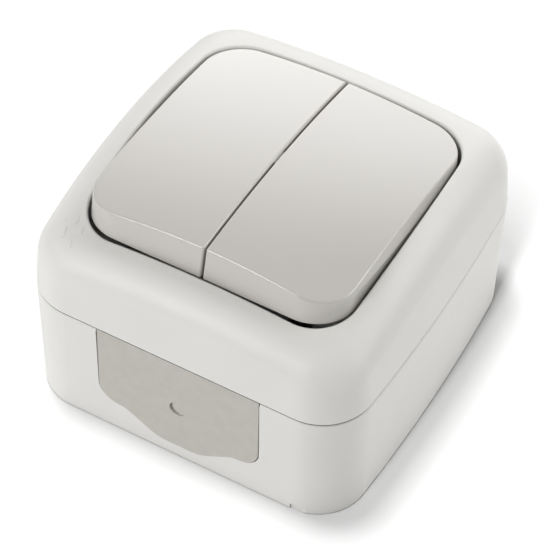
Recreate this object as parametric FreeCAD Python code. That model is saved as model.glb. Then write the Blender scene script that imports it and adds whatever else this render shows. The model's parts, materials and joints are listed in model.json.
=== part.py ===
import FreeCAD, Part
import math
import os

V = FreeCAD.Vector
os.makedirs("parts", exist_ok=True)

# Surface-mounted weatherproof switch with two rockers, lying on its back.
# Millimetres. Origin at the middle of the back face, +Z out of the wall, -Y towards the cable entry.

# Overall form
width = 66.0                # across the box at the seam, at the middle of its bowed sides
length = 67.4               # along Y
corner_radius = 9.8         # box corners at the seam
side_bend = 350.0           # radius of the bowed sides, seen from above
base_height = 25.75         # top of the base's rim
seam_gap = 0.45             # open line between base and cover
wall = 2.4
floor_thickness = 2.4
base_draft = 0.4            # how much narrower the base is at the wall, per side
rim_round = 0.9             # the base's rim turns in under the cover
foot_round = 0.5

# Cover
cover_draft = 3.5           # degrees
cover_crown = 43.6          # height of the crowned top over the middle
cover_bend_x = 190.0        # crown radius seen along Y
cover_bend_y = 128.0        # crown radius seen along X
cover_top_bend = 800.0      # the sides are straighter above than at the seam
shoulder_radius = 7.0       # soft turn from the top to the sides
opening_x = 51.8            # at the middle of its bowed sides
opening_y = 51.8
opening_radius = 8.2
opening_bend = 285.0
opening_edge_round = 0.4
skirt_wall = 1.6
deck_top = 33.6
deck_thickness = 1.8
deck_window_y = 24.0

# Rockers, drawn level and then tilted about their pivot
pivot_height = 39.0
rest_tilt = 5.5             # degrees, the cable-entry end stands up
rocker_crown = 45.6
rocker_bend_x = 132.0
rocker_bend_y = 196.0
rocker_rim_height = 41.4    # the skirt is upright below, and leans in above to a straight top edge
rocker_side_gap = 0.55      # to the opening, at the rim height
rocker_end_gap = 0.86
rocker_skirt_bottom = 37.8
rocker_top_height = 44.2
rocker_top_half_x = 24.1
rocker_top_bend = -2000.0   # hollow, so that the top edge is straight on the crown
rocker_top_radius = 6.6
rocker_end_draft = 6.0      # degrees
rocker_inner_radius = 0.4
rocker_wall = 1.6
rocker_top_wall = 1.8
rocker_edge_round = 0.38
split_gap = 0.35
pivot_cheek_gap = 0.15      # the rockers close in on each other beside the pivot
pivot_cheek_half = 1.6
bearing_notch_clearance = 0.5   # around the bearing lug and the carrier's end
rib_spacing = 9.0
rib_thickness = 1.4
rib_half_length = 16.0

# Carriers under the rockers
gang_offset = 10.6          # stem axis from the middle
carrier_bottom = 36.9
carrier_top = 41.2
carrier_half_y = 4.2
axial_clearance = 0.5
trunnion_radius = 1.3
trunnion_clearance = 0.05
trunnion_engagement = 1.8
stem_side = 7.0
stem_bottom = 23.0
bore_radius = 2.05
bore_top = 36.0

# Plungers and springs
plunger_clearance = 0.05
plunger_tip = 19.5
plunger_top = 29.0
spring_outer_radius = 1.8
spring_inner_radius = 1.3

# Switch insert
insert_half_x = 23.6
insert_half_y = 18.0
insert_bottom = 8.0
insert_wall = 2.0
insert_top_height = 27.5
insert_corner = 2.0
plate_overhang = 0.4        # the top plate past the insert's side walls
plate_thickness = 2.3
lug_thickness = 2.2
lug_radius = 2.6
lug_window_clearance = 0.4
slot_clearance = 0.7
slot_half_y = 5.5
partition_thickness = 2.0
partition_near = -6.0
strip_passage_clearance = 0.3
ear_inset = 9.6             # ear axis inside the insert's side
ear_reach = 3.5             # ear axis past the insert's end
ear_radius = 3.9
ear_thickness = 2.5

# Contacts
strip_thickness = 1.0
contact_width = 5.0
fulcrum_height = 17.0
fulcrum_radius = 1.0
fulcrum_clearance = 0.05
fulcrum_blade = 1.6
lever_hub_radius = 2.0
lever_half_length = 11.0
lever_thickness = 1.0
lever_rise = 0.4            # underside of the wings over the fulcrum's axis
lever_tilt = 8.0            # degrees at rest, the cable-entry wing down
rivet_radius = 1.5
rivet_height = 0.8
rivet_offset = 9.5
load_contact_top = 14.7

# Terminals
terminal_height = 8.0
terminal_contact_clearance = 0.8
terminal_half_y = 2.9
terminal_side_clearance = 0.5
terminal_end_clearance = 0.2
wire_radius = 1.6
wire_height = 14.5
wire_entry_radius = 2.0
terminal_screw_radius = 1.45
terminal_head_radius = 2.4
terminal_head_height = 2.2

# Fasteners and their posts
screw_clearance = 0.05
cover_screw_x = 16.5
cover_post_radius = 3.4
cover_post_clearance = 1.1  # from the post to the insert's end
cover_boss_radius = 4.2
cover_boss_depth = 1.4
cover_screw_radius = 1.25
cover_head_radius = 2.8
cover_head_height = 1.5
cover_screw_length = 11.0
insert_screw_radius = 1.45
insert_head_radius = 2.8
insert_head_height = 1.8
insert_screw_reach = 4.5
pilot_extra = 0.5           # pilot holes past the screws' tips
driver_slot_width = 0.8
driver_slot_depth = 0.8
wall_hole_radius = 2.2
wall_hole_offset = 26.6
wall_collar_radius = 3.9
wall_collar_height = 2.0

# Gasket and cable seal
gasket_ledge = 1.3
gasket_depth = 1.0
gasket_clearance = 0.05
seal_half_width = 15.95
seal_corner_height = 7.5
seal_corner_radius = 4.2
seal_step_x = 10.6
seal_step_height = 7.1
seal_step_radius = 3.0
seal_belly_x = 4.2
seal_belly_height = 3.2
seal_belly_radius = 6.5
seal_gap = 0.18
seal_recess = 0.15
seal_flange_margin = 2.3
seal_flange_thickness = 1.6
seal_flange_bottom = 2.6
seal_membrane = 1.2
seal_cup_radius = 6.0
seal_cup_mouth = 4.5
seal_cup_wall = 1.6
seal_cup_depth = 5.0
seal_mark_height = 13.8
seal_mark_radius = 1.6
seal_mark_shift = 0.7
seal_mark_depth = 0.5
rail_thickness = 1.4
rail_clearance = 0.3
rail_lip = 1.4
rail_root = 0.5             # the rail runs into the front wall
rail_top = 22.0
splash_band = 2.0
splash_inset = 0.3
splash_margin = 0.2         # from the splash seal to the plate's side

# Drain notch in the base's lower edge
notch_x = 24.05
notch_width = 3.9
notch_height = 1.5
notch_depth = 0.4

# Heights, half sizes and places that follow from the above
half_x = width / 2
half_y = length / 2
cover_bottom = base_height + seam_gap
deck_bottom = deck_top - deck_thickness
plate_half_x = insert_half_x + plate_overhang
plate_top = insert_top_height + plate_thickness
splash_half_x = plate_half_x - splash_margin - splash_band
splash_half_y = deck_window_y / 2 + splash_inset
deck_window_x = 2 * (splash_half_x - splash_inset)
lug_offset = deck_window_x / 2 - lug_window_clearance - lug_thickness / 2
insert_floor = insert_bottom + insert_wall
strip_top = insert_floor + strip_thickness
terminal_near_x = gang_offset + contact_width / 2 + terminal_contact_clearance
terminal_far_x = insert_half_x - insert_wall - terminal_side_clearance
terminal_half_x = (terminal_far_x - terminal_near_x) / 2
load_terminal_x = (terminal_far_x + terminal_near_x) / 2
load_terminal_y = insert_half_y - insert_wall - terminal_end_clearance - terminal_half_y
common_terminal_y = -load_terminal_y
terminal_top = strip_top + terminal_height
ear_x = insert_half_x - ear_inset
ear_y = insert_half_y + ear_reach
cover_screw_y = insert_half_y + cover_post_clearance + cover_post_radius
boss_bottom = deck_bottom - cover_boss_depth
seal_front = -half_y + seal_recess
inner_front = -half_y + wall
overshoot = 5.0             # cutting bodies reach this far past what they cut
edge_tolerance = 0.1        # for finding edges by where they lie


def span_box(x0, x1, y0, y1, z0, z1):
    return Part.makeBox(x1 - x0, y1 - y0, z1 - z0, V(x0, y0, z0))


def post(radius, x, y, z0, z1):
    return Part.makeCylinder(radius, z1 - z0, V(x, y, z0))


def rod_x(radius, x0, x1, y, z):
    return Part.makeCylinder(radius, x1 - x0, V(x0, y, z), V(1, 0, 0))


def rod_y(radius, x, y0, y1, z):
    return Part.makeCylinder(radius, y1 - y0, V(x, y0, z), V(0, 1, 0))


def arc(start, middle, end):
    return Part.Arc(start, middle, end).toShape()


def line(start, end):
    return Part.LineSegment(start, end).toShape()


def rounded_wire(corners):
    """Closed wire through (point, radius) corners, each turned by a tangent arc."""
    edges = []
    count = len(corners)
    starts = []
    ends = []
    middles = []
    for i, (corner, radius) in enumerate(corners):
        back = (corners[i - 1][0] - corner).normalize()
        ahead = (corners[(i + 1) % count][0] - corner).normalize()
        half_angle = back.getAngle(ahead) / 2
        reach = radius / math.tan(half_angle)
        bisector = (back + ahead).normalize()
        starts.append(corner + back * reach)
        ends.append(corner + ahead * reach)
        middles.append(corner + bisector * (radius / math.sin(half_angle) - radius))
    for i, (corner, radius) in enumerate(corners):
        if radius > 0:
            edges.append(arc(starts[i], middles[i], ends[i]))
        edges.append(line(ends[i], starts[(i + 1) % count]))
    return Part.Wire(edges)


def prism(hx, hy, radius, z0, z1):
    """Upright block with straight sides and rounded corners, centred on the axis."""
    corners = [V(-hx, -hy, z0), V(hx, -hy, z0), V(hx, hy, z0), V(-hx, hy, z0)]
    wire = rounded_wire([(corner, radius) for corner in corners])
    return Part.Face(wire).extrude(V(0, 0, z1 - z0))


def bowed_side(hx, hy, radius, bend, z):
    """Seven points of a right-hand side: near corner arc, bowed side, far corner arc, all tangent."""
    hub = V(hx - bend, 0, z)
    span = math.sqrt((bend - radius) ** 2 - (hy - radius) ** 2)
    turn = V(hub.x + math.copysign(span, bend), radius - hy, z)
    out = (turn - hub).normalize() * math.copysign(1, bend)
    near = [V(turn.x, -hy, z), turn + (out + V(0, -1, 0)).normalize() * radius, turn + out * radius]
    far = [V(point.x, -point.y, z) for point in reversed(near)]
    return near + [V(hx, 0, z)] + far


def side_edges(points):
    return [arc(*points[0:3]), arc(*points[2:5]), arc(*points[4:7])]


def bowed_outline(hx, hy, radius, bend, z):
    right = bowed_side(hx, hy, radius, bend, z)
    left = [V(-point.x, point.y, z) for point in reversed(right)]
    edges = side_edges(right) + [line(right[6], left[0])] + side_edges(left) + [line(left[6], right[0])]
    return Part.Wire(edges)


def housing_outline(inset, z):
    return bowed_outline(half_x - inset, half_y - inset, corner_radius - inset, side_bend - inset, z)


def housing_prism(inset, z0, z1):
    return Part.Face(housing_outline(inset, z0)).extrude(V(0, 0, z1 - z0))


def opening_prism(grow, z0, z1):
    wire = bowed_outline(opening_x / 2 + grow, opening_y / 2 + grow, opening_radius + grow,
                         opening_bend + grow, z0)
    return Part.Face(wire).extrude(V(0, 0, z1 - z0))


def tapered(lower, upper):
    return Part.makeLoft([lower, upper], True, True)


def crowned(crown, bend_x, bend_y):
    """Block under a doubly curved top: an arc along X turned about an axis along X far below."""
    reach = max(half_x, half_y) + 2 * overshoot
    low = crown - base_height
    shoulder = crown - bend_x + math.sqrt(bend_x ** 2 - reach ** 2)
    ends = [V(reach, 0, shoulder), V(reach, 0, low), V(-reach, 0, low), V(-reach, 0, shoulder)]
    top = arc(ends[3], V(0, 0, crown), ends[0])
    face = Part.Face(Part.Wire([top] + Part.makePolygon(ends).Edges))
    swing = math.degrees(math.asin(reach / (bend_y - base_height)))
    axis_point = V(0, 0, crown - bend_y)
    face.rotate(axis_point, V(1, 0, 0), -swing)
    return face.revolve(axis_point, V(1, 0, 0), 2 * swing)


def highest_face(shape):
    return max(shape.Faces, key=lambda face: face.CenterOfMass.z)


def lowest_face(shape):
    return min(shape.Faces, key=lambda face: face.CenterOfMass.z)


def mirrored(shape):
    return shape.mirror(V(0, 0, 0), V(1, 0, 0))


def tilted(shape):
    """A rocker piece drawn level, turned to where the rocker rests."""
    turned = shape.copy()
    turned.rotate(V(0, 0, pivot_height), V(1, 0, 0), -rest_tilt)
    return turned


def seal_outline(grow, y):
    """The cable seal's front outline: straight sides, round corners and a hanging belly."""
    hx = seal_half_width + grow
    slope = math.atan2(seal_step_height - seal_belly_height, seal_step_x - seal_belly_x)
    shift = grow * math.tan(slope / 2)
    top = base_height + overshoot
    side = [
        (V(-hx, y, top), 0),
        (V(-hx, y, seal_corner_height - grow), seal_corner_radius + grow),
        (V(-seal_step_x - shift, y, seal_step_height - grow), seal_step_radius - grow),
        (V(-seal_belly_x - shift, y, seal_belly_height - grow), seal_belly_radius + grow),
    ]
    other = [(V(-point.x, point.y, point.z), radius) for point, radius in reversed(side)]
    return rounded_wire(side + other)


def base_box():
    shell = tapered(housing_outline(base_draft, 0), housing_outline(0, base_height))
    shell = shell.makeFillet(rim_round, highest_face(shell).OuterWire.Edges)
    shell = shell.makeFillet(foot_round, lowest_face(shell).OuterWire.Edges)
    shell = shell.cut(housing_prism(wall, floor_thickness, base_height + overshoot))
    shell = shell.cut(housing_prism(wall - gasket_ledge, base_height - gasket_depth, base_height + overshoot))

    window_depth = wall + 2 * overshoot
    shell = shell.cut(Part.Face(seal_outline(0, -half_y - overshoot)).extrude(V(0, window_depth, 0)))
    notch_back = -half_y + base_draft + notch_depth
    shell = shell.cut(span_box(notch_x - notch_width / 2, notch_x + notch_width / 2,
                               -half_y - overshoot, notch_back, -overshoot, notch_height))

    for side in (-1, 1):
        collar_top = floor_thickness + wall_collar_height
        collar = post(wall_collar_radius, side * wall_hole_offset, 0, floor_thickness, collar_top)
        x = side * cover_screw_x
        y = -side * cover_screw_y
        cover_post = post(cover_post_radius, x, y, floor_thickness, boss_bottom)
        insert_boss = post(ear_radius, side * ear_x, side * ear_y, floor_thickness, insert_bottom)
        shell = shell.fuse([seal_rail(side), collar, cover_post, insert_boss])
        wall_hole = post(wall_hole_radius, side * wall_hole_offset, 0, -overshoot, base_height)
        cover_tip = deck_top - cover_screw_length
        cover_pilot = post(cover_screw_radius + screw_clearance, x, y, cover_tip - pilot_extra, deck_top)
        insert_tip = insert_bottom - insert_screw_reach
        insert_pilot = post(insert_screw_radius + screw_clearance, side * ear_x, side * ear_y,
                            insert_tip - pilot_extra, insert_bottom + overshoot)
        shell = shell.cut([wall_hole, cover_pilot, insert_pilot])
    return shell.removeSplitter()


def seal_rail(side):
    """Upright inside the base that the cable seal's flange slides behind."""
    rail_x = seal_half_width + seal_flange_margin + rail_clearance
    lip_y = inner_front + seal_flange_thickness + rail_clearance
    lip_back = lip_y + rail_lip
    root_y = inner_front - rail_root
    upright = span_box(rail_x, rail_x + rail_thickness, root_y, lip_back, floor_thickness, rail_top)
    lip = span_box(rail_x - rail_lip, rail_x, lip_y, lip_back, floor_thickness, rail_top)
    rail = upright.fuse(lip)
    return rail if side > 0 else mirrored(rail)


def cover_form(inset):
    """The cover's outside, or its inside when inset by the wall."""
    high = cover_crown + overshoot
    narrow = (high - cover_bottom) * math.tan(math.radians(cover_draft))
    start = cover_bottom if inset == 0 else cover_bottom - overshoot
    ease = half_y ** 2 / 2 * (1 / side_bend - 1 / cover_top_bend)
    top_inset = inset + narrow
    top = bowed_outline(half_x - ease - top_inset, half_y - top_inset, corner_radius - top_inset,
                        cover_top_bend - top_inset, high)
    block = tapered(housing_outline(inset, start), top)
    block = block.common(crowned(cover_crown - inset, cover_bend_x, cover_bend_y))
    return block.makeFillet(shoulder_radius - inset, highest_face(block).OuterWire.Edges)


def cover_frame():
    outside = cover_form(0)
    shell = outside.cut(cover_form(wall))
    shell = shell.fuse(opening_prism(skirt_wall, deck_bottom, cover_crown).common(outside))
    for side in (-1, 1):
        x = side * cover_screw_x
        y = -side * cover_screw_y
        shell = shell.fuse(post(cover_boss_radius, x, y, boss_bottom, deck_bottom))
    shell = shell.cut(opening_prism(0, deck_top, cover_crown + overshoot))
    shell = shell.cut(prism(deck_window_x / 2, deck_window_y / 2, insert_corner,
                            deck_bottom - overshoot, deck_top + overshoot))
    for side in (-1, 1):
        x = side * cover_screw_x
        y = -side * cover_screw_y
        hole = post(cover_screw_radius + screw_clearance, x, y, boss_bottom - overshoot, deck_top)
        sink = Part.makeCone(cover_screw_radius + screw_clearance, cover_head_radius + screw_clearance,
                             cover_head_height, V(x, y, deck_top - cover_head_height))
        shell = shell.cut([hole, sink])
    shell = shell.removeSplitter()
    return shell.makeFillet(opening_edge_round, [edge for edge in shell.Edges if on_opening_edge(edge)])


def on_opening_edge(edge):
    """True for the edges where the opening's walls meet the crowned top."""
    box = edge.BoundBox
    inside = max(abs(box.XMin), abs(box.XMax)) < opening_x / 2 + edge_tolerance
    inside = inside and max(abs(box.YMin), abs(box.YMax)) < opening_y / 2 + edge_tolerance
    return inside and box.ZMin > deck_top + edge_tolerance


def cover_gasket():
    outer = wall - gasket_ledge + gasket_clearance
    inner = wall - gasket_clearance
    low = base_height - gasket_depth
    return housing_prism(outer, low, cover_bottom).cut(housing_prism(inner, low, cover_bottom))


def cable_seal():
    ledge_y = inner_front - gasket_ledge
    ledge_z = base_height - gasket_depth
    plug = Part.Face(seal_outline(-seal_gap, seal_front)).extrude(V(0, inner_front - seal_front, 0))
    flange_half = seal_half_width + seal_flange_margin
    flange_back = inner_front + seal_flange_thickness
    flange = span_box(-flange_half, flange_half, inner_front, flange_back, seal_flange_bottom, ledge_z)
    cup = Part.makeCone(seal_cup_radius + seal_cup_wall, seal_cup_mouth + seal_cup_wall, seal_cup_depth,
                        V(0, flange_back, seal_mark_height), V(0, 1, 0))
    hollow_start = seal_front + seal_membrane
    hollow = Part.makeCone(seal_cup_radius, seal_cup_mouth, flange_back + seal_cup_depth - hollow_start,
                           V(0, hollow_start, seal_mark_height), V(0, 1, 0))
    seal = plug.fuse([flange, cup]).cut(hollow)
    above = base_height + 2 * overshoot
    seal = seal.cut(span_box(-half_x, half_x, -half_y, half_y, base_height, above))
    seal = seal.cut(span_box(-half_x, half_x, ledge_y, half_y, ledge_z, above))
    disc = rod_y(seal_mark_radius, 0, -half_y, seal_front + seal_mark_depth, seal_mark_height)
    bite = rod_y(seal_mark_radius, seal_mark_shift, -half_y, seal_front + overshoot,
                 seal_mark_height + seal_mark_shift)
    return seal.cut(disc.cut(bite)).removeSplitter()


def rocker_section(hx, radius, bend, inset, z):
    """The right-hand rocker's outline at one height: a bowed outer side and a straight inner one."""
    end_lean = (z - rocker_rim_height) * math.tan(math.radians(rocker_end_draft))
    hy = opening_y / 2 - rocker_end_gap - inset - end_lean
    outer = bowed_side(hx - inset, hy, radius - inset, bend - inset, z)
    x = split_gap / 2 + inset
    turn = rocker_inner_radius
    cut_in = turn - turn * math.sqrt(0.5)
    far = [V(x + turn, hy, z), V(x + cut_in, hy - cut_in, z), V(x, hy - turn, z)]
    near = [V(point.x, -point.y, z) for point in reversed(far)]
    edges = side_edges(outer) + [line(outer[6], far[0]), arc(*far), line(far[2], near[0]), arc(*near)]
    return Part.Wire(edges + [line(near[2], outer[0])])


def rocker_block(inset, height_drop, skirt_bottom):
    """Right-hand rocker as a solid block under the crown: an upright skirt and sides that lean in above."""
    skirt_x = opening_x / 2 - rocker_side_gap
    skirt_form = (skirt_x, opening_radius - rocker_side_gap, opening_bend - rocker_side_gap, inset)
    top_form = (rocker_top_half_x, rocker_top_radius, rocker_top_bend, inset)
    top = rocker_section(*top_form, rocker_top_height)
    skirt = rocker_section(*skirt_form, rocker_rim_height)
    block = tapered(rocker_section(*skirt_form, skirt_bottom), skirt)
    block = block.fuse([tapered(skirt, top), Part.Face(top).extrude(V(0, 0, overshoot))])
    return block.common(crowned(rocker_crown - height_drop, rocker_bend_x, rocker_bend_y))


def rocker_cap():
    block = rocker_block(0, 0, rocker_skirt_bottom)
    block = block.makeFillet(rocker_edge_round, highest_face(block).OuterWire.Edges)
    below = rocker_skirt_bottom - overshoot
    above = rocker_crown + overshoot
    notch_roof = pivot_height + lug_radius + bearing_notch_clearance
    notch_half = carrier_half_y + bearing_notch_clearance
    inner_face = split_gap / 2 + rocker_wall
    notch = span_box(0, inner_face + bearing_notch_clearance, -notch_half, notch_half, below, notch_roof)
    cap = block.cut([rocker_block(rocker_wall, rocker_top_wall, below), notch])
    for side in (-1, 1):
        x = gang_offset + side * rib_spacing / 2
        rib = span_box(x - rib_thickness / 2, x + rib_thickness / 2, -rib_half_length, rib_half_length,
                       carrier_top, above)
        cap = cap.fuse(rib.common(block))
    cheek = span_box(pivot_cheek_gap / 2, inner_face, -pivot_cheek_half, pivot_cheek_half, notch_roof, above)
    cheek = cheek.common(crowned(rocker_crown - rocker_edge_round, rocker_bend_x, rocker_bend_y))
    return cap.fuse(cheek).removeSplitter()


def carrier():
    inner = lug_thickness / 2 + axial_clearance
    outer = lug_offset - lug_thickness / 2 - axial_clearance
    bar = span_box(inner, outer, -carrier_half_y, carrier_half_y, carrier_bottom, carrier_top)
    inner_end = inner - axial_clearance - trunnion_engagement / 2
    outer_end = outer + axial_clearance + trunnion_engagement
    inner_pin = rod_x(trunnion_radius, inner_end, inner, 0, pivot_height)
    outer_pin = rod_x(trunnion_radius, outer, outer_end, 0, pivot_height)
    half = stem_side / 2
    stem = span_box(gang_offset - half, gang_offset + half, -half, half, stem_bottom, carrier_bottom)
    body = bar.fuse([inner_pin, outer_pin, stem])
    return body.cut(post(bore_radius, gang_offset, 0, stem_bottom - overshoot, bore_top)).removeSplitter()


def plunger():
    radius = bore_radius - plunger_clearance
    pin = post(radius, gang_offset, 0, plunger_tip + radius, plunger_top)
    return pin.fuse(Part.makeSphere(radius, V(gang_offset, 0, plunger_tip + radius))).removeSplitter()


def plunger_spring():
    sleeve = post(spring_outer_radius, gang_offset, 0, plunger_top, bore_top)
    return sleeve.cut(post(spring_inner_radius, gang_offset, 0, plunger_top, bore_top))


def insert_body():
    room_x = insert_half_x - insert_wall
    room_y = insert_half_y - insert_wall
    body = prism(insert_half_x, insert_half_y, insert_corner, insert_bottom, insert_top_height)
    body = body.cut(prism(room_x, room_y, insert_corner / 2, insert_floor, insert_top_height + overshoot))
    partition = span_box(-partition_thickness / 2, partition_thickness / 2, partition_near, room_y,
                         insert_floor, insert_top_height)
    passage = span_box(-partition_thickness, partition_thickness, partition_near, contact_width,
                       insert_floor, strip_top + strip_passage_clearance)
    body = body.fuse(partition.cut(passage))
    for side in (-1, 1):
        x = side * ear_x
        y = side * ear_y
        ear = post(ear_radius, x, y, insert_bottom, insert_bottom + ear_thickness)
        near = min(y, side * room_y)
        far = max(y, side * room_y)
        web = span_box(x - ear_radius, x + ear_radius, near, far, insert_bottom, insert_floor)
        body = body.fuse([ear, web])
        screw_hole = post(insert_screw_radius + screw_clearance, x, y, insert_bottom - overshoot,
                          insert_bottom + overshoot)
        load_entry = rod_y(wire_entry_radius, side * load_terminal_x, load_terminal_y,
                           insert_half_y + overshoot, wire_height)
        body = body.cut([screw_hole, load_entry])
    common_entry = rod_y(wire_entry_radius, 0, -insert_half_y - overshoot, common_terminal_y, wire_height)
    return body.cut(common_entry).removeSplitter()


def insert_top():
    plate = prism(plate_half_x, insert_half_y, insert_corner, insert_top_height, plate_top)
    for centre in (-lug_offset, 0, lug_offset):
        x0 = centre - lug_thickness / 2
        x1 = centre + lug_thickness / 2
        upright = span_box(x0, x1, -lug_radius, lug_radius, plate_top, pivot_height)
        plate = plate.fuse([upright, rod_x(lug_radius, x0, x1, 0, pivot_height)])
    reach = lug_offset + lug_thickness
    plate = plate.cut(rod_x(trunnion_radius + trunnion_clearance, -reach, reach, 0, pivot_height))
    half = stem_side / 2 + slot_clearance
    for x in (-gang_offset, gang_offset):
        plate = plate.cut(span_box(x - half, x + half, -slot_half_y, slot_half_y,
                                   insert_top_height - overshoot, plate_top + overshoot))
    return plate.removeSplitter()


def splash_seal():
    ring = prism(splash_half_x + splash_band, splash_half_y + splash_band, insert_corner + splash_band,
                 plate_top, deck_bottom)
    return ring.cut(prism(splash_half_x, splash_half_y, insert_corner, plate_top, deck_bottom))


def common_contact():
    half = contact_width / 2
    reach = gang_offset + half
    strip = span_box(-reach, reach, -half, half, insert_floor, strip_top)
    tail = span_box(-half, half, common_terminal_y, 0, insert_floor, strip_top)
    contact = strip.fuse(tail)
    for x in (-gang_offset, gang_offset):
        blade = span_box(x - half, x + half, -fulcrum_blade / 2, fulcrum_blade / 2,
                         insert_floor, fulcrum_height)
        ridge = rod_x(fulcrum_radius, x - half, x + half, 0, fulcrum_height)
        contact = contact.fuse([blade, ridge])
    return contact.removeSplitter()


def load_contact():
    x0 = gang_offset - contact_width / 2
    x1 = gang_offset + contact_width / 2
    y0 = rivet_offset - rivet_radius
    base_top = load_contact_top - rivet_height
    pillar = span_box(x0, x1, y0, rivet_offset + rivet_radius, insert_floor, base_top)
    rivet = post(rivet_radius, gang_offset, rivet_offset, base_top, load_contact_top)
    foot = span_box(x0, load_terminal_x + terminal_half_x, y0, load_terminal_y + terminal_half_y,
                    insert_floor, strip_top)
    return foot.fuse([pillar, rivet]).removeSplitter()


def contact_lever():
    """Rocking contact: a hub that sits on the ridge, two wings and a rivet, turned to its rest tilt."""
    x0 = gang_offset - contact_width / 2
    x1 = gang_offset + contact_width / 2
    hub = rod_x(lever_hub_radius, x0, x1, 0, fulcrum_height)
    wing_bottom = fulcrum_height + lever_rise
    wing_top = wing_bottom + lever_thickness
    wings = span_box(x0, x1, -lever_half_length, lever_half_length, wing_bottom, wing_top)
    rivet = post(rivet_radius, gang_offset, rivet_offset, wing_bottom - rivet_height, wing_bottom)
    lever = hub.fuse([wings, rivet])
    lever = lever.cut(rod_x(fulcrum_radius + fulcrum_clearance, x0 - overshoot, x1 + overshoot,
                            0, fulcrum_height))
    lever = lever.cut(span_box(x0 - overshoot, x1 + overshoot, -lever_hub_radius, lever_hub_radius,
                               fulcrum_height - overshoot, fulcrum_height))
    lever = lever.removeSplitter()
    lever.rotate(V(0, 0, fulcrum_height), V(1, 0, 0), lever_tilt)
    return lever


def terminal(x, y):
    block = span_box(x - terminal_half_x, x + terminal_half_x, y - terminal_half_y, y + terminal_half_y,
                     strip_top, terminal_top)
    wire_hole = rod_y(wire_radius, x, y - overshoot, y + overshoot, wire_height)
    screw_hole = post(terminal_screw_radius + screw_clearance, x, y, wire_height, terminal_top + overshoot)
    return block.cut([wire_hole, screw_hole])


def driver_slot(radius, x, y, top):
    half = driver_slot_width / 2
    return span_box(x - radius, x + radius, y - half, y + half, top - driver_slot_depth, top + overshoot)


def cheese_head(radius, x, y, z0, z1):
    return post(radius, x, y, z0, z1).cut(driver_slot(radius, x, y, z1))


def terminal_screw(x, y):
    shank = post(terminal_screw_radius, x, y, wire_height + wire_radius, terminal_top)
    head_top = terminal_top + terminal_head_height
    return shank.fuse(cheese_head(terminal_head_radius, x, y, terminal_top, head_top))


def cover_screw(x, y):
    head_bottom = deck_top - cover_head_height
    head = Part.makeCone(cover_screw_radius, cover_head_radius, cover_head_height, V(x, y, head_bottom))
    shank = post(cover_screw_radius, x, y, deck_top - cover_screw_length, head_bottom)
    return head.cut(driver_slot(cover_head_radius, x, y, deck_top)).fuse(shank)


def insert_screw(x, y):
    seat = insert_bottom + ear_thickness
    shank = post(insert_screw_radius, x, y, insert_bottom - insert_screw_reach, seat)
    return shank.fuse(cheese_head(insert_head_radius, x, y, seat, seat + insert_head_height))


def save(name, shape):
    solids = shape.Solids
    if len(solids) != 1 or not shape.isValid():
        raise RuntimeError(name + " is not one valid solid")
    solids[0].exportStep("parts/" + name + ".step")
    print(name, round(solids[0].Volume, 1))


save("base_box", base_box())
save("cover_frame", cover_frame())
save("cover_gasket", cover_gasket())
save("cable_seal", cable_seal())
save("splash_seal", splash_seal())
save("insert_body", insert_body())
save("insert_top", insert_top())
save("common_contact", common_contact())
save("terminal_common", terminal(0, common_terminal_y))
save("terminal_screw_common", terminal_screw(0, common_terminal_y))
save("cover_screw_right", cover_screw(cover_screw_x, -cover_screw_y))
save("cover_screw_left", cover_screw(-cover_screw_x, cover_screw_y))
save("insert_screw_right", insert_screw(ear_x, ear_y))
save("insert_screw_left", insert_screw(-ear_x, -ear_y))

right_gang = {
    "rocker": tilted(rocker_cap()),
    "carrier": tilted(carrier()),
    "plunger": tilted(plunger()),
    "plunger_spring": tilted(plunger_spring()),
    "contact_lever": contact_lever(),
    "load_contact": load_contact(),
    "terminal_load": terminal(load_terminal_x, load_terminal_y),
    "terminal_screw_load": terminal_screw(load_terminal_x, load_terminal_y),
}
for piece, shape in right_gang.items():
    save(piece + "_right", shape)
    save(piece + "_left", mirrored(shape))
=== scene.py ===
import json
import math

import bpy
from mathutils import Matrix, Vector
from mathutils.bvhtree import BVHTree
from mathutils.geometry import convex_hull_2d


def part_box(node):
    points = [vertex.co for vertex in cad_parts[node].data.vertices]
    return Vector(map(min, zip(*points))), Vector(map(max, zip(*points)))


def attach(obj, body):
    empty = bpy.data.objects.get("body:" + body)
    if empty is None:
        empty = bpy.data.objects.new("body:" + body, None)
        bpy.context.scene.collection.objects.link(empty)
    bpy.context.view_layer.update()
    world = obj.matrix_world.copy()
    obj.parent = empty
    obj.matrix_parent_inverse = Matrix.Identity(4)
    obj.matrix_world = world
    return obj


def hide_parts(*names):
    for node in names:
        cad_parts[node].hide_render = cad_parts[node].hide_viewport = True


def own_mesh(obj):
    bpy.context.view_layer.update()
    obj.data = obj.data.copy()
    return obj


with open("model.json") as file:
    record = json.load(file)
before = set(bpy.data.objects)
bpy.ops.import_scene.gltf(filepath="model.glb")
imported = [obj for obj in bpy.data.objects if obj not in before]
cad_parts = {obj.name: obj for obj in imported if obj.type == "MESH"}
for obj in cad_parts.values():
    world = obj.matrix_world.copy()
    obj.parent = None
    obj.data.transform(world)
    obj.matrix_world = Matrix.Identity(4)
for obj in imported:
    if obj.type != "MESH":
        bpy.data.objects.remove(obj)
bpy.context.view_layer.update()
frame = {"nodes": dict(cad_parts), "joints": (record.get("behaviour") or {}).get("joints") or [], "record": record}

MM = 0.001

# Camera, as fitted to the photograph
camera_azimuth = 28.24
camera_elevation = 49.87
camera_roll = 1.57
camera_distance = 479.86 * MM
camera_target = Vector((2.455, -4.319, 20.907)) * MM
camera_lens = 180.06
camera_clip = 10 * MM
sensor_width = 36.0

# Floor and room
floor_reach = 3.0
floor_drop = 0.02 * MM      # below the switch's back face
floor_tone = 0.41           # in the light that it throws back on the switch
floor_shown = 0.535         # to the camera and in reflections
room_tone = 0.23
glow_azimuth = 197
glow_elevation = 13
glow_reach = 42             # degrees from its middle to its rim
glow_strength = 3.0

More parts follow.
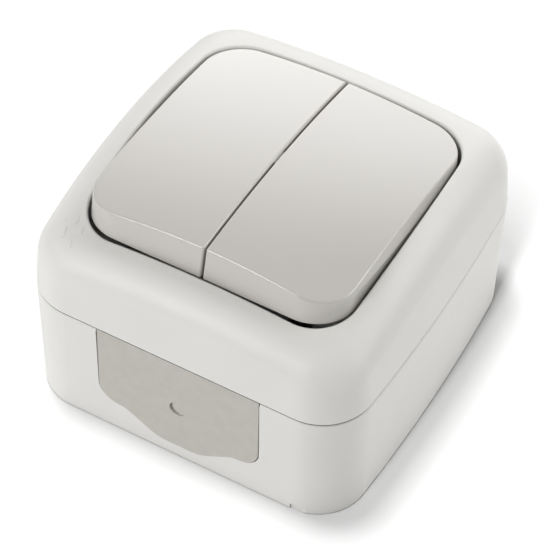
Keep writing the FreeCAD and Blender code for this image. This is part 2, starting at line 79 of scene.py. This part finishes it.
# Softboxes: name, azimuth, elevation, distance, width and height in metres, power in watts
switch_softboxes = (
    ("key_softbox", -22, 30, 1.6, 0.60, 0.85, 12.4),
    ("side_softbox", -60, 32, 1.6, 0.80, 0.80, 5.2),
    ("high_softbox", -30, 62, 1.5, 0.50, 0.50, 1.6),
    ("right_softbox", 105, 20, 1.6, 0.70, 0.50, 4.8),
    ("rim_softbox", 135, 36, 1.6, 0.80, 1.10, 9.2),
)
floor_softboxes = (
    ("floor_softbox_above", 258, 82, 1.4, 0.22, 0.22, 16.5),
    ("floor_softbox_front", 5, 64, 1.4, 0.14, 0.70, 17.5),
)

# Plastics, rubbers and metals, linear colours
housing_tone = (0.690, 0.682, 0.655)
rocker_tone = (0.520, 0.502, 0.474)
seal_tone = (0.492, 0.474, 0.435)
# The gasket's dark tone paints the shade in the seam between base and cover
gasket_and_seam_shade_tone = (0.110, 0.109, 0.105)
carrier_tone = (0.480, 0.480, 0.460)
insert_tone = (0.380, 0.380, 0.370)
brass_tone = (0.720, 0.520, 0.230)
steel_tone = (0.560, 0.560, 0.550)

# The part of a noise's range that a finish spreads its values over
pattern_low = 0.3
pattern_high = 0.7

# Plunger springs
coil_turns = 7.0
coil_steps = 24             # points in each turn
wire_sides = 10

# Lip of the gasket in the seam between base and cover, a dark bead that paints the seam's shade
lip_inset = 0.06 * MM       # behind the housing's side
lip_clearance = 0.01 * MM   # to the base and to the cover
lip_sides = 12
wall_share = 0.94           # the side walls lie past this share of the housing's half width

# Raised drops on the cover's near left corner: x, y and length in mm, tips away from the cable entry
cover_drops = (
    (-26.83, -24.83, 1.05),
    (-24.94, -24.30, 2.05),
    (-25.71, -27.26, 2.30),
    (-22.94, -26.08, 1.80),
    (-23.38, -28.99, 1.60),
)
drop_slimness = 0.72        # greatest width over length, before the taper
drop_relief = 0.075         # thickness over length, half of it sunk in the cover
drop_taper = 0.8
drop_segments = 24
drop_rings = 16
drop_half = 0.5             # half the length of the drop that is scaled for each place
probe_height = 1 * MM       # above the cover, where the search for its surface starts


def direction(azimuth, elevation):
    """Unit vector from the object towards a place at that azimuth and elevation."""
    a = math.radians(azimuth)
    e = math.radians(elevation)
    return Vector((math.sin(a) * math.cos(e), -math.cos(a) * math.cos(e), math.sin(e)))


def place_camera():
    """A long lens that looks at the switch as the photograph does, with the same slight roll."""
    data = bpy.data.cameras.new("photo_camera")
    data.lens = camera_lens
    data.sensor_width = sensor_width
    data.clip_start = camera_clip
    camera = bpy.data.objects.new("photo_camera", data)
    bpy.context.scene.collection.objects.link(camera)
    back = direction(camera_azimuth, camera_elevation)
    right = Vector((0, 0, 1)).cross(back).normalized()
    up = back.cross(right)
    roll = math.radians(camera_roll)
    rolled_right = right * math.cos(roll) + up * math.sin(roll)
    rolled_up = up * math.cos(roll) - right * math.sin(roll)
    turn = Matrix((rolled_right, rolled_up, back)).transposed().to_4x4()
    camera.matrix_world = Matrix.Translation(camera_target + back * camera_distance) @ turn
    bpy.context.scene.camera = camera


def softbox(name, azimuth, elevation, distance, wide, high, power):
    """A soft rectangular lamp that faces the switch."""
    data = bpy.data.lights.new(name, "AREA")
    data.shape = "RECTANGLE"
    data.size = wide
    data.size_y = high
    data.energy = power
    lamp = bpy.data.objects.new(name, data)
    bpy.context.scene.collection.objects.link(lamp)
    away = direction(azimuth, elevation)
    lamp.location = camera_target + away * distance
    lamp.rotation_euler = away.to_track_quat("Z", "Y").to_euler()
    return lamp


def flag(lamp, floor, state):
    """Keeps the lamp's light off the floor (EXCLUDE) or on the floor alone (INCLUDE)."""
    shaded = bpy.data.collections.new(lamp.name + "_flag")
    shaded.objects.link(floor)
    lamp.light_linking.receiver_collection = shaded
    for item in shaded.collection_objects:
        item.light_linking.link_state = state


def light_studio(floor):
    """Lights the switch and the floor apart, so that the floor is white and keeps a soft shadow."""
    for row in switch_softboxes:
        flag(softbox(*row), floor, "EXCLUDE")
    for row in floor_softboxes:
        flag(softbox(*row), floor, "INCLUDE")
    light_room()


def light_room():
    """An even room with a soft glow low behind the object, and white for the camera."""
    world = bpy.data.worlds.new("studio_world")
    world.use_nodes = True
    bpy.context.scene.world = world
    nodes = world.node_tree.nodes
    links = world.node_tree.links
    nodes.clear()
    heading = nodes.new("ShaderNodeTexCoord")
    along = nodes.new("ShaderNodeVectorMath")
    along.operation = "DOT_PRODUCT"
    along.inputs[1].default_value = direction(glow_azimuth, glow_elevation)
    fall = nodes.new("ShaderNodeMapRange")
    fall.interpolation_type = "SMOOTHSTEP"
    fall.inputs["From Min"].default_value = math.cos(math.radians(glow_reach))
    fall.inputs["From Max"].default_value = 1.0
    fall.inputs["To Min"].default_value = room_tone
    fall.inputs["To Max"].default_value = room_tone + glow_strength
    room = nodes.new("ShaderNodeBackground")
    room.inputs["Color"].default_value = (1, 1, 1, 1)
    white = nodes.new("ShaderNodeBackground")
    white.inputs["Color"].default_value = (1, 1, 1, 1)
    white.inputs["Strength"].default_value = 1.0
    rays = nodes.new("ShaderNodeLightPath")
    mix = nodes.new("ShaderNodeMixShader")
    out = nodes.new("ShaderNodeOutputWorld")
    links.new(heading.outputs["Generated"], along.inputs[0])
    links.new(along.outputs["Value"], fall.inputs["Value"])
    links.new(fall.outputs["Result"], room.inputs["Strength"])
    links.new(rays.outputs["Is Camera Ray"], mix.inputs["Fac"])
    links.new(room.outputs["Background"], mix.inputs[1])
    links.new(white.outputs["Background"], mix.inputs[2])
    links.new(mix.outputs["Shader"], out.inputs["Surface"])


def lay_floor():
    """A wide sheet of paper under the switch, with one tone as seen and one for the light it throws."""
    mesh = bpy.data.meshes.new("floor")
    r = floor_reach
    mesh.from_pydata([(-r, -r, 0), (r, -r, 0), (r, r, 0), (-r, r, 0)], [], [(0, 1, 2, 3)])
    floor = bpy.data.objects.new("floor", mesh)
    floor.location.z = -floor_drop
    bpy.context.scene.collection.objects.link(floor)
    material = bpy.data.materials.new("floor_paper")
    material.use_nodes = True
    nodes = material.node_tree.nodes
    links = material.node_tree.links
    nodes.clear()
    paper = nodes.new("ShaderNodeBsdfDiffuse")
    paper.inputs["Color"].default_value = (floor_tone, floor_tone, floor_tone, 1)
    shown = nodes.new("ShaderNodeBsdfDiffuse")
    shown.inputs["Color"].default_value = (floor_shown, floor_shown, floor_shown, 1)
    rays = nodes.new("ShaderNodeLightPath")
    seen = nodes.new("ShaderNodeMath")
    seen.operation = "MAXIMUM"
    mix = nodes.new("ShaderNodeMixShader")
    out = nodes.new("ShaderNodeOutputMaterial")
    links.new(rays.outputs["Is Camera Ray"], seen.inputs[0])
    links.new(rays.outputs["Is Glossy Ray"], seen.inputs[1])
    links.new(seen.outputs["Value"], mix.inputs["Fac"])
    links.new(paper.outputs["BSDF"], mix.inputs[1])
    links.new(shown.outputs["BSDF"], mix.inputs[2])
    links.new(mix.outputs["Shader"], out.inputs["Surface"])
    mesh.materials.append(material)
    return floor


class Finish:
    """A Principled material whose patterns sit on Object coordinates."""

    def __init__(self, name, tone, metallic=0.0):
        self.material = bpy.data.materials.new(name)
        self.material.use_nodes = True
        self.nodes = self.material.node_tree.nodes
        self.links = self.material.node_tree.links
        self.shader = self.nodes["Principled BSDF"]
        self.shader.inputs["Metallic"].default_value = metallic
        self.tone = tone
        self.place = self.nodes.new("ShaderNodeTexCoord").outputs["Object"]

    def noise(self, scale, detail=3.0, rough=0.5):
        """A noise pattern, finer with a greater scale."""
        node = self.nodes.new("ShaderNodeTexNoise")
        node.inputs["Scale"].default_value = scale
        node.inputs["Detail"].default_value = detail
        node.inputs["Roughness"].default_value = rough
        self.links.new(self.place, node.inputs["Vector"])
        return node.outputs["Fac"]

    def colour(self, pattern, variation):
        """The tone, a little darker and lighter with the pattern."""
        node = self.nodes.new("ShaderNodeValToRGB")
        dark, light = node.color_ramp.elements
        dark.position = pattern_low
        light.position = pattern_high
        dark.color = [c * (1 - variation) for c in self.tone] + [1]
        light.color = [min(c * (1 + variation), 1) for c in self.tone] + [1]
        self.links.new(pattern, node.inputs["Fac"])
        self.links.new(node.outputs["Color"], self.shader.inputs["Base Color"])

    def roughness(self, pattern, low, high):
        """A roughness that goes from low to high with the pattern."""
        node = self.nodes.new("ShaderNodeMapRange")
        node.inputs["From Min"].default_value = pattern_low
        node.inputs["From Max"].default_value = pattern_high
        node.inputs["To Min"].default_value = low
        node.inputs["To Max"].default_value = high
        self.links.new(pattern, node.inputs["Value"])
        self.links.new(node.outputs["Result"], self.shader.inputs["Roughness"])

    def bump(self, pattern, strength, depth):
        """A fine relief that follows the pattern."""
        node = self.nodes.new("ShaderNodeBump")
        node.inputs["Strength"].default_value = strength
        node.inputs["Distance"].default_value = depth
        self.links.new(pattern, node.inputs["Height"])
        self.links.new(node.outputs["Normal"], self.shader.inputs["Normal"])


def eroded_housing_plastic():
    """Pale moulded plastic with a fine spark-eroded grain."""
    finish = Finish("eroded_housing_plastic", housing_tone)
    finish.colour(finish.noise(scale=90, detail=4), variation=0.012)
    finish.roughness(finish.noise(scale=1400), low=0.38, high=0.48)
    finish.bump(finish.noise(scale=3200, detail=2, rough=0.6), strength=0.16, depth=0.06 * MM)
    return finish.material


def polished_rocker_plastic():
    """A warmer plastic from a polished mould."""
    finish = Finish("polished_rocker_plastic", rocker_tone)
    finish.colour(finish.noise(scale=70), variation=0.008)
    finish.roughness(finish.noise(scale=500), low=0.12, high=0.17)
    finish.bump(finish.noise(scale=160, detail=2), strength=0.012, depth=0.03 * MM)
    finish.shader.inputs["Coat Weight"].default_value = 0.65
    finish.shader.inputs["Coat Roughness"].default_value = 0.05
    return finish.material


def seal_rubber():
    """Soft grey rubber with a dusty, slightly mottled skin."""
    finish = Finish("seal_rubber", seal_tone)
    finish.colour(finish.noise(scale=420, detail=5, rough=0.6), variation=0.035)
    finish.roughness(finish.noise(scale=900), low=0.66, high=0.80)
    finish.bump(finish.noise(scale=2600, rough=0.6), strength=0.18, depth=0.05 * MM)
    finish.shader.inputs["Specular IOR Level"].default_value = 0.3
    return finish.material


def gasket_and_seam_shade_rubber():
    """Dark rubber of the gasket between base and cover, dark enough to paint the shade in the seam."""
    finish = Finish("gasket_and_seam_shade_rubber", gasket_and_seam_shade_tone)
    finish.colour(finish.noise(scale=300, detail=4), variation=0.06)
    finish.roughness(finish.noise(scale=700), low=0.70, high=0.85)
    finish.bump(finish.noise(scale=2200), strength=0.12, depth=0.04 * MM)
    return finish.material


def moulded_carrier_plastic():
    """Smooth grey plastic of the carriers and plungers."""
    finish = Finish("moulded_carrier_plastic", carrier_tone)
    finish.colour(finish.noise(scale=200), variation=0.02)
    finish.roughness(finish.noise(scale=600), low=0.35, high=0.48)
    finish.bump(finish.noise(scale=1800, detail=2), strength=0.06, depth=0.04 * MM)
    return finish.material


def moulded_insert_plastic():
    """Duller grey plastic of the insert that holds the contacts."""
    finish = Finish("moulded_insert_plastic", insert_tone)
    finish.colour(finish.noise(scale=160, detail=4), variation=0.03)
    finish.roughness(finish.noise(scale=800), low=0.48, high=0.62)
    finish.bump(finish.noise(scale=2000), strength=0.10, depth=0.05 * MM)
    return finish.material


def stamped_brass():
    """Brass of the contacts and terminals, a little tarnished."""
    finish = Finish("stamped_brass", brass_tone, metallic=1.0)
    finish.colour(finish.noise(scale=350, detail=5), variation=0.06)
    finish.roughness(finish.noise(scale=1500, detail=4), low=0.22, high=0.38)
    finish.bump(finish.noise(scale=2400), strength=0.05, depth=0.03 * MM)
    return finish.material


def zinc_plated_steel():
    """Plated steel of the screws and springs."""
    finish = Finish("zinc_plated_steel", steel_tone, metallic=1.0)
    finish.colour(finish.noise(scale=500, detail=4), variation=0.05)
    finish.roughness(finish.noise(scale=1800, detail=4), low=0.24, high=0.36)
    finish.bump(finish.noise(scale=2600), strength=0.04, depth=0.03 * MM)
    return finish.material


def dress_nodes():
    """Gives every node the finish of its material slot, and the gasket a darker rubber that also paints the shade
    in the seam.
    """
    finishes = {
        "housing_plastic": eroded_housing_plastic(),
        "rocker_plastic": polished_rocker_plastic(),
        "carrier_plastic": moulded_carrier_plastic(),
        "insert_plastic": moulded_insert_plastic(),
        "seal_rubber": seal_rubber(),
        "contact_brass": stamped_brass(),
        "plated_steel": zinc_plated_steel(),
    }
    for part in frame["record"]["subparts"]:
        mesh = frame["nodes"][part["node"]].data
        mesh.materials.clear()
        mesh.materials.append(finishes[part["material_slot"]])
    finishes["gasket"] = gasket_and_seam_shade_rubber()
    gasket = frame["nodes"]["cover_gasket"].data
    gasket.materials.clear()
    gasket.materials.append(finishes["gasket"])
    return finishes


def new_tree(name, sizes):
    """A Geometry Nodes tree with a named input for each size, its inlet and its outlet."""
    tree = bpy.data.node_groups.new(name, "GeometryNodeTree")
    tree.interface.new_socket("Geometry", in_out="INPUT", socket_type="NodeSocketGeometry")
    for size in sizes:
        tree.interface.new_socket(size, in_out="INPUT", socket_type="NodeSocketFloat")
    tree.interface.new_socket("Geometry", in_out="OUTPUT", socket_type="NodeSocketGeometry")
    return tree, tree.nodes.new("NodeGroupInput"), tree.nodes.new("NodeGroupOutput")


def end_tree(tree, geometry, outlet, material):
    """Makes the tree's geometry real and smooth, and paints it."""
    smooth = tree.nodes.new("GeometryNodeSetShadeSmooth")
    real = tree.nodes.new("GeometryNodeRealizeInstances")
    paint = tree.nodes.new("GeometryNodeSetMaterial")
    paint.inputs["Material"].default_value = material
    tree.links.new(geometry, real.inputs["Geometry"])
    tree.links.new(real.outputs["Geometry"], smooth.inputs["Geometry"])
    tree.links.new(smooth.outputs["Geometry"], paint.inputs["Geometry"])
    tree.links.new(paint.outputs["Geometry"], outlet.inputs["Geometry"])


def calculate(tree, operation, first, second):
    """The result of a Math node on two numbers or sockets."""
    node = tree.nodes.new("ShaderNodeMath")
    node.operation = operation
    for socket, value in zip(node.inputs, (first, second)):
        if isinstance(value, float):
            socket.default_value = value
        else:
            tree.links.new(value, socket)
    return node.outputs["Value"]


def bake(name, mesh, tree, sizes):
    """Runs the tree on the mesh and keeps the result as a plain mesh object."""
    source = bpy.data.objects.new(name + "_source", mesh)
    bpy.context.scene.collection.objects.link(source)
    shaping = source.modifiers.new("shaping", "NODES")
    shaping.node_group = tree
    for socket in tree.interface.items_tree:
        if socket.in_out == "INPUT" and socket.name in sizes:
            shaping[socket.identifier] = sizes[socket.name]
    shaped = source.evaluated_get(bpy.context.evaluated_depsgraph_get())
    baked = bpy.data.meshes.new_from_object(shaped)
    source.modifiers.remove(shaping)
    bpy.data.objects.remove(source)
    piece = bpy.data.objects.new(name, baked)
    bpy.context.scene.collection.objects.link(piece)
    return piece


def coil_tree(steel):
    """A wire wound into a helix along Z."""
    tree, inlet, outlet = new_tree("plunger_coil", ("Mean Radius", "Wire Radius", "Height"))
    helix = tree.nodes.new("GeometryNodeCurveSpiral")
    helix.inputs["Resolution"].default_value = coil_steps
    helix.inputs["Rotations"].default_value = coil_turns
    wire = tree.nodes.new("GeometryNodeCurvePrimitiveCircle")
    wire.inputs["Resolution"].default_value = wire_sides
    tube = tree.nodes.new("GeometryNodeCurveToMesh")
    tube.inputs["Fill Caps"].default_value = True
    tree.links.new(inlet.outputs["Mean Radius"], helix.inputs["Start Radius"])
    tree.links.new(inlet.outputs["Mean Radius"], helix.inputs["End Radius"])
    tree.links.new(inlet.outputs["Height"], helix.inputs["Height"])
    tree.links.new(inlet.outputs["Wire Radius"], wire.inputs["Radius"])
    tree.links.new(helix.outputs["Curve"], tube.inputs["Curve"])
    tree.links.new(wire.outputs["Curve"], tube.inputs["Profile Curve"])
    end_tree(tree, tube.outputs["Mesh"], outlet, steel)
    return tree


def wind_springs(steel):
    """A coil in place of each plunger's spring sleeve, carried with its rocker."""
    tree = coil_tree(steel)
    joints = {joint["name"]: joint for joint in frame["joints"]}
    for side in ("left", "right"):
        node = "plunger_spring_" + side
        slide = joints["plunger_" + side + "_slide"]
        axis = Vector(slide["axis"]).normalized()
        pivot = Vector(joints["rocker_" + side + "_tilt"]["pos_m"])
        corners = [vertex.co - pivot for vertex in frame["nodes"][node].data.vertices]
        levels = [corner.dot(axis) for corner in corners]
        reaches = [(corner - axis * level).length for corner, level in zip(corners, levels)]
        wire = (max(reaches) - min(reaches)) / 2
        length = max(levels) - min(levels)
        sizes = {"Mean Radius": min(reaches) + wire, "Wire Radius": wire, "Height": length - 2 * wire}
        coil = bake("coil_" + side, bpy.data.meshes.new("coil_" + side), tree, sizes)
        foot = pivot + axis * (min(levels) + wire)
        turn = axis.to_track_quat("Z", "Y").to_matrix().to_4x4()
        coil.data.transform(Matrix.Translation(foot) @ turn)
        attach(coil, side + "_rocker_body")
        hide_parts(node)
        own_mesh(coil)


def seam_shade_lip_tree(rubber):
    """A round bead along the closed line that it is given."""
    tree, inlet, outlet = new_tree("seam_shade_lip", ("Bead Radius",))
    path = tree.nodes.new("GeometryNodeMeshToCurve")
    bead = tree.nodes.new("GeometryNodeCurvePrimitiveCircle")
    bead.inputs["Resolution"].default_value = lip_sides
    tube = tree.nodes.new("GeometryNodeCurveToMesh")
    tree.links.new(inlet.outputs["Geometry"], path.inputs["Mesh"])
    tree.links.new(inlet.outputs["Bead Radius"], bead.inputs["Radius"])
    tree.links.new(path.outputs["Curve"], tube.inputs["Curve"])
    tree.links.new(bead.outputs["Curve"], tube.inputs["Profile Curve"])
    end_tree(tree, tube.outputs["Mesh"], outlet, rubber)
    return tree


def fit_seam_shade_lip(rubber):
    """The gasket's lip, a dark bead running round the housing inside the seam, where it paints the seam's shade.
    """
    cover = frame["nodes"]["cover_frame"].data
    base = frame["nodes"]["base_box"].data
    side = wall_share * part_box("base_box")[1][0]
    cover_foot = min(vertex.co.z for vertex in cover.vertices if vertex.co.x > side)
    base_rim = max(vertex.co.z for vertex in base.vertices if vertex.co.x > side)
    edge = [vertex.co.xy for vertex in cover.vertices if abs(vertex.co.z - cover_foot) < lip_clearance]
    outline = [edge[i] for i in convex_hull_2d(edge)]
    bead = (cover_foot - base_rim) / 2 - lip_clearance
    count = len(outline)
    path = []
    for i, corner in enumerate(outline):
        along = (outline[(i + 1) % count] - outline[i - 1]).normalized()
        inward = Vector((-along.y, along.x))
        if inward.dot(corner) > 0:
            inward.negate()
        spot = corner + inward * (lip_inset + bead)
        path.append((spot.x, spot.y, (cover_foot + base_rim) / 2))
    mesh = bpy.data.meshes.new("lip_path")
    mesh.from_pydata(path, [(i, (i + 1) % count) for i in range(count)], [])
    lip = bake("seam_shade_lip", mesh, seam_shade_lip_tree(rubber), {"Bead Radius": bead})
    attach(lip, "housing")


def mould_drop(tree, inlet):
    """One drop of unit length along Y: a ball made slim and flat, and narrowed to a tip."""
    ball = tree.nodes.new("GeometryNodeMeshUVSphere")
    ball.inputs["Segments"].default_value = drop_segments
    ball.inputs["Rings"].default_value = drop_rings
    ball.inputs["Radius"].default_value = drop_half
    spot = tree.nodes.new("GeometryNodeInputPosition")
    apart = tree.nodes.new("ShaderNodeSeparateXYZ")
    together = tree.nodes.new("ShaderNodeCombineXYZ")
    mould = tree.nodes.new("GeometryNodeSetPosition")
    tree.links.new(spot.outputs["Position"], apart.inputs["Vector"])
    to_tip = calculate(tree, "SUBTRACT", drop_half, apart.outputs["Y"])
    narrowing = calculate(tree, "POWER", to_tip, inlet.outputs["Taper"])
    slim = calculate(tree, "MULTIPLY", apart.outputs["X"], inlet.outputs["Slimness"])
    flat = calculate(tree, "MULTIPLY", apart.outputs["Z"], inlet.outputs["Relief"])
    tree.links.new(calculate(tree, "MULTIPLY", slim, narrowing), together.inputs["X"])
    tree.links.new(apart.outputs["Y"], together.inputs["Y"])
    tree.links.new(flat, together.inputs["Z"])
    tree.links.new(ball.outputs["Mesh"], mould.inputs["Geometry"])
    tree.links.new(together.outputs["Vector"], mould.inputs["Position"])
    return mould.outputs["Geometry"]


def drop_tree(plastic):
    """A raised drop on each point, as long as the point says, lying along the point's surface."""
    tree, inlet, outlet = new_tree("cover_drop", ("Slimness", "Relief", "Taper"))
    length = tree.nodes.new("GeometryNodeInputNamedAttribute")
    length.data_type = "FLOAT"
    length.inputs["Name"].default_value = "length"
    facing = tree.nodes.new("GeometryNodeInputNamedAttribute")
    facing.data_type = "FLOAT_VECTOR"
    facing.inputs["Name"].default_value = "facing"
    turn = tree.nodes.new("FunctionNodeAlignRotationToVector")
    turn.axis = "Z"
    place = tree.nodes.new("GeometryNodeInstanceOnPoints")
    tree.links.new(facing.outputs["Attribute"], turn.inputs["Vector"])
    tree.links.new(inlet.outputs["Geometry"], place.inputs["Points"])
    tree.links.new(mould_drop(tree, inlet), place.inputs["Instance"])
    tree.links.new(turn.outputs["Rotation"], place.inputs["Rotation"])
    tree.links.new(length.outputs["Attribute"], place.inputs["Scale"])
    end_tree(tree, place.outputs["Instances"], outlet, plastic)
    return tree


def raise_drops(plastic):
    """The small raised drops in the cover's skin, set on the cover's own surface."""
    cover = frame["nodes"]["cover_frame"].data
    corners = [vertex.co for vertex in cover.vertices]
    skin = BVHTree.FromPolygons(corners, [list(face.vertices) for face in cover.polygons])
    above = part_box("cover_frame")[1][2] + probe_height
    down = Vector((0, 0, -1))
    hits = [skin.ray_cast(Vector((x * MM, y * MM, above)), down) for x, y, _ in cover_drops]
    mesh = bpy.data.meshes.new("drop_points")
    mesh.from_pydata([spot for spot, _, _, _ in hits], [], [])
    lengths = mesh.attributes.new("length", "FLOAT", "POINT")
    facings = mesh.attributes.new("facing", "FLOAT_VECTOR", "POINT")
    for i, ((_, normal, _, _), (_, _, length)) in enumerate(zip(hits, cover_drops)):
        lengths.data[i].value = length * MM
        facings.data[i].vector = normal
    sizes = {"Slimness": drop_slimness, "Relief": drop_relief, "Taper": drop_taper}
    drops = bake("cover_drops", mesh, drop_tree(plastic), sizes)
    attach(drops, "housing")


place_camera()
light_studio(lay_floor())
finishes = dress_nodes()
wind_springs(finishes["plated_steel"])
fit_seam_shade_lip(finishes["gasket"])
raise_drops(finishes["housing_plastic"])

bpy.context.scene.view_settings.view_transform = "Standard"
